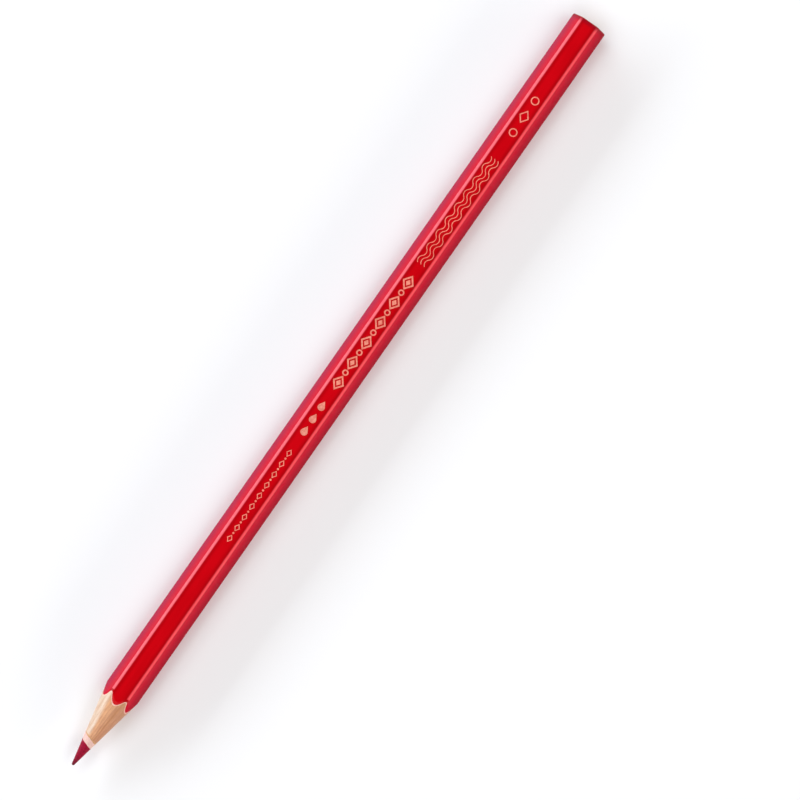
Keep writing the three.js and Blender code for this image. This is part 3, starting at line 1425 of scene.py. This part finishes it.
@dataclass
class Ornament:
    """Plain figures in gold foil, stamped along the facet that faces up."""

    sizes: PencilSizes
    bite: float = 0.03  # how deep the die pressed
    leaf: float = 0.014  # the foil's thickness, with its size coat
    drop_shoulder: float = 0.26  # how far ahead of a drop's middle its tip starts, by its length
    wave_length: float = 3.1
    wave_count: int = 8
    wave_lean: float = math.radians(50)
    wave_stroke: float = 0.16
    wave_steps: int = 10  # in each arc
    waves_start: float = 118.0  # behind the point
    lane: float = 0.78  # between two waves
    pieces: list[Piece] = field(default_factory=list)

    @property
    def bed(self) -> float:
        """The height of the stamped bed."""
        return self.sizes.across_flats - self.bite

    def figure(self, row: Row) -> Piece:
        """One flat figure on the stamped bed, in the middle of the barrel.

        Args:
            row: what it looks like.

        Returns:
            The figure.
        """
        bpy.ops.mesh.primitive_circle_add(
            vertices=row.kind.value, radius=0.5, fill_type="NGON", location=(0, 0, self.bed)
        )
        bpy.context.active_object.scale = (row.length, row.height, 1)
        shape = added(row.kind.name.lower())
        if row.kind is Figure.DROP:
            self.draw_out(shape, row.length)
        if row.stroke:
            with editing(shape):
                bpy.ops.mesh.select_all(action="SELECT")
                bpy.ops.mesh.inset(thickness=row.stroke)
                bpy.ops.mesh.delete(type="FACE")
        return shape

    def draw_out(self, shape: Piece, length: float) -> None:
        """Turns a disc into a drop by drawing out its front to a tip.

        Args:
            shape: the disc.
            length: its size along the pencil.
        """
        with editing(shape, "VERT") as mesh:
            tip = max(mesh.verts, key=lambda vertex: vertex.co.x)
            shoulder = self.drop_shoulder * length
            select(mesh.verts, lambda vertex: vertex.co.x > shoulder and vertex != tip)
            bpy.ops.mesh.dissolve_verts()
        with editing(shape, "VERT") as mesh:
            tip = max(mesh.verts, key=lambda vertex: vertex.co.x)
            tip.select_set(True)
            bpy.ops.transform.translate(value=(length / 2, 0, 0))

    def spread(self, unit: Piece, shifts: list[Triple]) -> list[Piece]:
        """Copies a shape to each of its places.

        Args:
            unit: the shape, which is used up.
            shifts: how far from it each copy stands.

        Returns:
            The copies.
        """
        copies = []
        for shift in shifts:
            copies.append(copy_of(unit, unit.name))
            move(copies[-1], shift)
        discard(unit)
        return copies

    def band(self, name: str, *rows: Row) -> Piece:
        """Several rows of figures in one flat mesh.

        Args:
            name: the band's name.
            rows: the rows.

        Returns:
            The band.
        """
        figures = []
        for row in rows:
            first = self.sizes.point_x + row.first
            shifts = [(first + index * row.step, 0, 0) for index in range(row.count)]
            figures += self.spread(self.figure(row), shifts)
        return joined(figures, name)

    def wave(self) -> Piece:
        """A wavy line of equal arcs, which starts in the middle of the barrel.

        Returns:
            The line, as a flat mesh on the stamped bed.
        """
        stroke, lean, length = self.wave_stroke, self.wave_lean, self.wave_length
        radius = length / 4 / math.sin(lean)
        bpy.ops.mesh.primitive_plane_add(size=stroke, location=(stroke / 2, 0, 0))
        line = added("wave")
        with editing(line, "VERT") as mesh:
            select(mesh.verts, lambda vertex: vertex.co.x > stroke / 2)
            bpy.ops.mesh.delete(type="VERT")
        line.rotation_euler = (0, 0, lean)
        line.location = (0, 0, self.bed)
        fix(line)
        with editing(line, "EDGE"):
            bpy.ops.mesh.select_all(action="SELECT")
            for middle, bend in ((length / 4, 1), (3 * length / 4, -1)):
                bpy.ops.mesh.spin(
                    steps=self.wave_steps,
                    angle=bend * 2 * lean,
                    center=(middle, -bend * radius * math.cos(lean), self.bed),
                    axis=(0, 0, 1),
                )
        finish_modifier(
            line,
            "ARRAY",
            count=self.wave_count,
            use_relative_offset=False,
            use_constant_offset=True,
            constant_offset_displace=(length, 0, 0),
            use_merge_vertices=True,
            merge_threshold=stroke / 10,
        )
        return line

    def waves(self) -> Piece:
        """Three waves side by side.

        Returns:
            The waves in one flat mesh.
        """
        start = self.sizes.point_x + self.waves_start
        shifts = [(start, lane * self.lane, 0) for lane in (-1, 0, 1)]
        return joined(self.spread(self.wave(), shifts), "foil_waves")

    def bands(self) -> Iterator[Piece]:
        """Makes the bands in order, from the point to the blunt end.

        Yields:
            Each band as a flat mesh.
        """
        lozenge, ring, drop = Figure.LOZENGE, Figure.RING, Figure.DROP
        yield self.band(
            "foil_fine_rule",
            Row(lozenge, 1.7, 1.15, first=53.6, step=2.5, count=9, stroke=0.17),
            Row(ring, 0.42, 0.42, first=54.85, step=2.5, count=8),
        )
        yield self.band("foil_drops", Row(drop, 1.35, 1.45, first=78.6, step=2.9, count=3))
        yield self.band(
            "foil_bold_chain",
            Row(lozenge, 3.3, 2.5, first=90.2, step=4.7, count=6, stroke=0.32),
            Row(lozenge, 1.35, 1.0, first=90.2, step=4.7, count=6),
            Row(ring, 1.25, 1.25, first=92.55, step=4.7, count=5, stroke=0.28),
        )
        yield self.waves()
        yield self.band(
            "foil_end_marks",
            Row(ring, 1.7, 1.7, first=149.0, step=7.4, count=2, stroke=0.23),
            Row(lozenge, 2.9, 2.1, first=152.7, stroke=0.23),
        )

    def raised(self, shape: Piece, height: float) -> Piece:
        """Gives a flat mesh its thickness.

        Args:
            shape: the flat mesh.
            height: how thick it gets, upwards.

        Returns:
            The solid.
        """
        with editing(shape):
            face_outward()
            bpy.ops.mesh.extrude_region_move(TRANSFORM_OT_translate={"value": (0, 0, height)})
            face_outward()
        return shape

    def stamp(self, lacquer: Piece) -> None:
        """Presses the ornament into the lacquer and lays the foil in it.

        Args:
            lacquer: the clear coat, still in millimetres.
        """
        foil = FoilFinish("gold_foil", "foil", roughness=0.42, bump=0.15)
        for shape in self.bands():
            die = self.raised(copy_of(shape, "die"), 2 * self.bite)
            shape_by(lacquer, die, Cut.AWAY)
            discard(die)
            self.pieces.append(dress(settle(self.raised(shape, self.leaf)), foil))

    def hand_over(self) -> None:
        """Puts the foil on the pencil."""
        for piece in self.pieces:
            hand_over(piece)


@dataclass
class Lacquer:
    """The three coats, of which the outer one carries the gloss and the ornament."""

    sizes: PencilSizes
    blank: Blank
    ornament: Ornament

    def build(self, bar: Piece) -> None:
        """Models and dresses the coats.

        Args:
            bar: the finished bar, which is the outside of the clear coat.
        """
        size = self.sizes
        wood = self.blank.long_bar("wood_tool", size.wood_depth)
        under = self.blank.long_bar("under_tool", size.undercoat_depth)
        colour = self.blank.long_bar("colour_tool", size.colour_depth)
        undercoat = shape_by(copy_of(under, "undercoat_edge"), bar, Cut.COMMON)
        shape_by(undercoat, wood, Cut.AWAY)
        red = shape_by(copy_of(colour, "colour_layer"), bar, Cut.COMMON)
        shape_by(red, under, Cut.AWAY)
        skin = shape_by(copy_of(bar, "lacquer_skin"), colour, Cut.AWAY)
        self.ornament.stamp(skin)
        discard(wood, under, colour)
        filler = ChalkFinish(
            "filler_coat",
            "undercoat",
            roughness=0.5,
            colour=(0.84, 0.52, 0.43),
            stain=(0.8, 0.25, 0.23),
            stain_share=0.3,
            stain_reach=0.03,
            point_x=size.point_x * MM,
        )
        inner = self.red("red_layer", "colour_coat", roughness=0.45)
        outer = self.red("red_lacquer", "clear_coat", roughness=0.28)
        hand_over(dress(settle(undercoat, FLAT), filler), "undercoat")
        hand_over(dress(settle(red, FLAT), inner), "colour_coat")
        hand_over(dress(settle(skin, FLAT), outer), "clear_coat")
        self.ornament.hand_over()

    def red(self, name: str, slot: str, roughness: float) -> LacquerFinish:
        """The red lacquer, which both red layers share with their own gloss.

        Args:
            name: the material's name.
            slot: the record's slot.
            roughness: the roughness under the clear coat.

        Returns:
            The finish.
        """
        return LacquerFinish(
            name,
            slot,
            roughness=roughness,
            specular=0.0,
            bump=1.0,
            bump_height=MM,
            sizes=self.sizes,
        )


# The studio


@dataclass(frozen=True)
class SoftBox:
    """A soft light that faces the middle of the pencil, in metres."""

    name: str
    place: Triple
    size: tuple[float, float]  # its length along X and its height
    glow: float  # how bright its face is, where 1 is white in the picture
    tint: Colour

    def hang(self) -> None:
        """Hangs the light."""
        bpy.ops.object.light_add(type="AREA", location=self.place)
        light = bpy.context.active_object
        light.name = self.name
        light.data.shape = "RECTANGLE"
        light.data.size, light.data.size_y = self.size
        light.data.energy = self.glow * math.pi * self.size[0] * self.size[1]
        light.data.color = self.tint
        light.rotation_euler = Vector(self.place).to_track_quat("Z", "Y").to_euler()


@dataclass(frozen=True)
class Room:
    """A pale room that is dark over the camera.

    A band is in shares of a direction, of which 1 is straight up, ahead or to the left.
    """

    right_wall: Colour = (0.08, 0.08, 0.08)
    left_wall: Colour = (0.12, 0.12, 0.12)
    left_band: Band = (-0.8, 0.8)
    end_wall: Colour = (0.10, 0.10, 0.10)
    end_band: Band = (0.2, 0.8)
    end_share: float = 0.7
    ceiling: Colour = (2.05, 2.05, 2.07)
    ceiling_band: Band = (0.60, 0.72)
    overhead: Colour = (0.03, 0.03, 0.03)
    overhead_band: Band = (0.90, 0.955)
    backdrop: Colour = (0.72, 0.72, 0.73)
    backdrop_band: Band = (0.09, 0.12)

    def build(self) -> None:
        """Paints the room round the scene."""
        world = bpy.data.worlds.new("room")
        world.use_nodes = True
        world.node_tree.nodes.clear()
        tree = Tree(world.node_tree)
        ahead, left, up = tree.parts(tree.node("ShaderNodeTexCoord").outputs["Generated"])
        wall = tree.mix(tree.ramp(left, *self.left_band), self.right_wall, self.left_wall)
        colour = tree.mix(tree.ramp(up, *self.ceiling_band), wall, self.ceiling)
        end = tree.ramp(ahead, *self.end_band, 0.0, self.end_share)
        colour = tree.mix(end, colour, self.end_wall)
        colour = tree.mix(tree.ramp(up, *self.overhead_band), colour, self.overhead)
        low = tree.ramp(up, *self.backdrop_band, 1.0, 0.0)
        colour = tree.mix(low, colour, self.backdrop)
        back = tree.node("ShaderNodeBackground", {"Color": colour, "Strength": 1.0})
        tree.node("ShaderNodeOutputWorld", {"Surface": back.outputs[0]})
        bpy.context.scene.world = world


@dataclass
class Studio:
    """The camera where the photograph was taken from, the pale floor and the soft lights."""

    sizes: PencilSizes
    picture: float = 800.0  # pixels on a side
    point_pixel: tuple[float, float] = (71.9, 764.6)
    end_pixel: tuple[float, float] = (589.5, 23.7)
    distance: float = 0.72
    sensor: float = 36.0
    floor_size: float = 30.0
    room: Room = Room()
    soft_boxes: tuple[SoftBox, ...] = (
        SoftBox("softbox_left", (0.0, 1.65, 0.56), (3.3, 0.38), 8.0, tint=(0.95, 1.02, 1.08)),
        SoftBox("softbox_right", (0.0, -1.65, 0.50), (3.3, 0.33), 4.5, tint=(1.04, 0.96, 0.88)),
    )

    def set_camera(self) -> None:
        """Looks down on the pencil so that its ends fall on their pixels."""
        size = self.sizes
        point = Vector(self.point_pixel)
        axis = Vector(self.end_pixel) - point
        along = axis.normalized()
        across = Vector((-along.y, along.x))
        pixel = size.length * MM / axis.length
        middle = Vector((self.picture / 2, self.picture / 2)) - point
        aside, back = -middle.dot(across) * pixel, middle.dot(along) * pixel
        target = Vector((size.point_x * MM + back, aside, size.axis_height * MM))
        bpy.ops.object.camera_add()
        camera = bpy.context.active_object
        camera.name = "camera"
        camera.data.sensor_width = self.sensor
        camera.data.lens = self.sensor * self.distance / (self.picture * pixel)
        camera.matrix_world = (
            Matrix.Translation(target)
            @ Matrix.Rotation(math.atan2(along.y, along.x), 4, "Z")
            @ Matrix.Translation((0, 0, self.distance))
        )
        bpy.context.scene.camera = camera
        bpy.context.scene.view_settings.view_transform = "Standard"

    def lay_floor(self) -> None:
        """Lays the sheet that the pencil rests on."""
        bpy.ops.mesh.primitive_plane_add(size=self.floor_size)
        floor = added("floor")
        floor.data.materials.append(FloorFinish("pale_sheet", "floor", roughness=0.9).material())
        floor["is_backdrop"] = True

    def set_up(self) -> None:
        """Sets up the camera, the floor, the lights and the room."""
        self.set_camera()
        self.lay_floor()
        for box in self.soft_boxes:
            box.hang()
        self.room.build()
        LOG.info("studio ready")


def main() -> None:
    """Builds the studio and the pencil's sub-assemblies in order, and works out the boxes."""
    logging.basicConfig(level=logging.INFO, format="%(message)s")
    sizes = PencilSizes.from_frame()
    Studio(sizes).set_up()
    blank = Blank(sizes)
    bar = blank.finished_bar()
    lead = Lead(sizes)
    lead.build(bar)
    Casing(sizes, blank, lead).build(bar)
    Lacquer(sizes, blank, Ornament(sizes)).build(bar)
    discard(bar)
    boxes = {"cad": CAD_BOX, "visual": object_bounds()}
    {name: [list(corner) for corner in box] for name, box in boxes.items()}


if __name__ == "__main__":
    main()
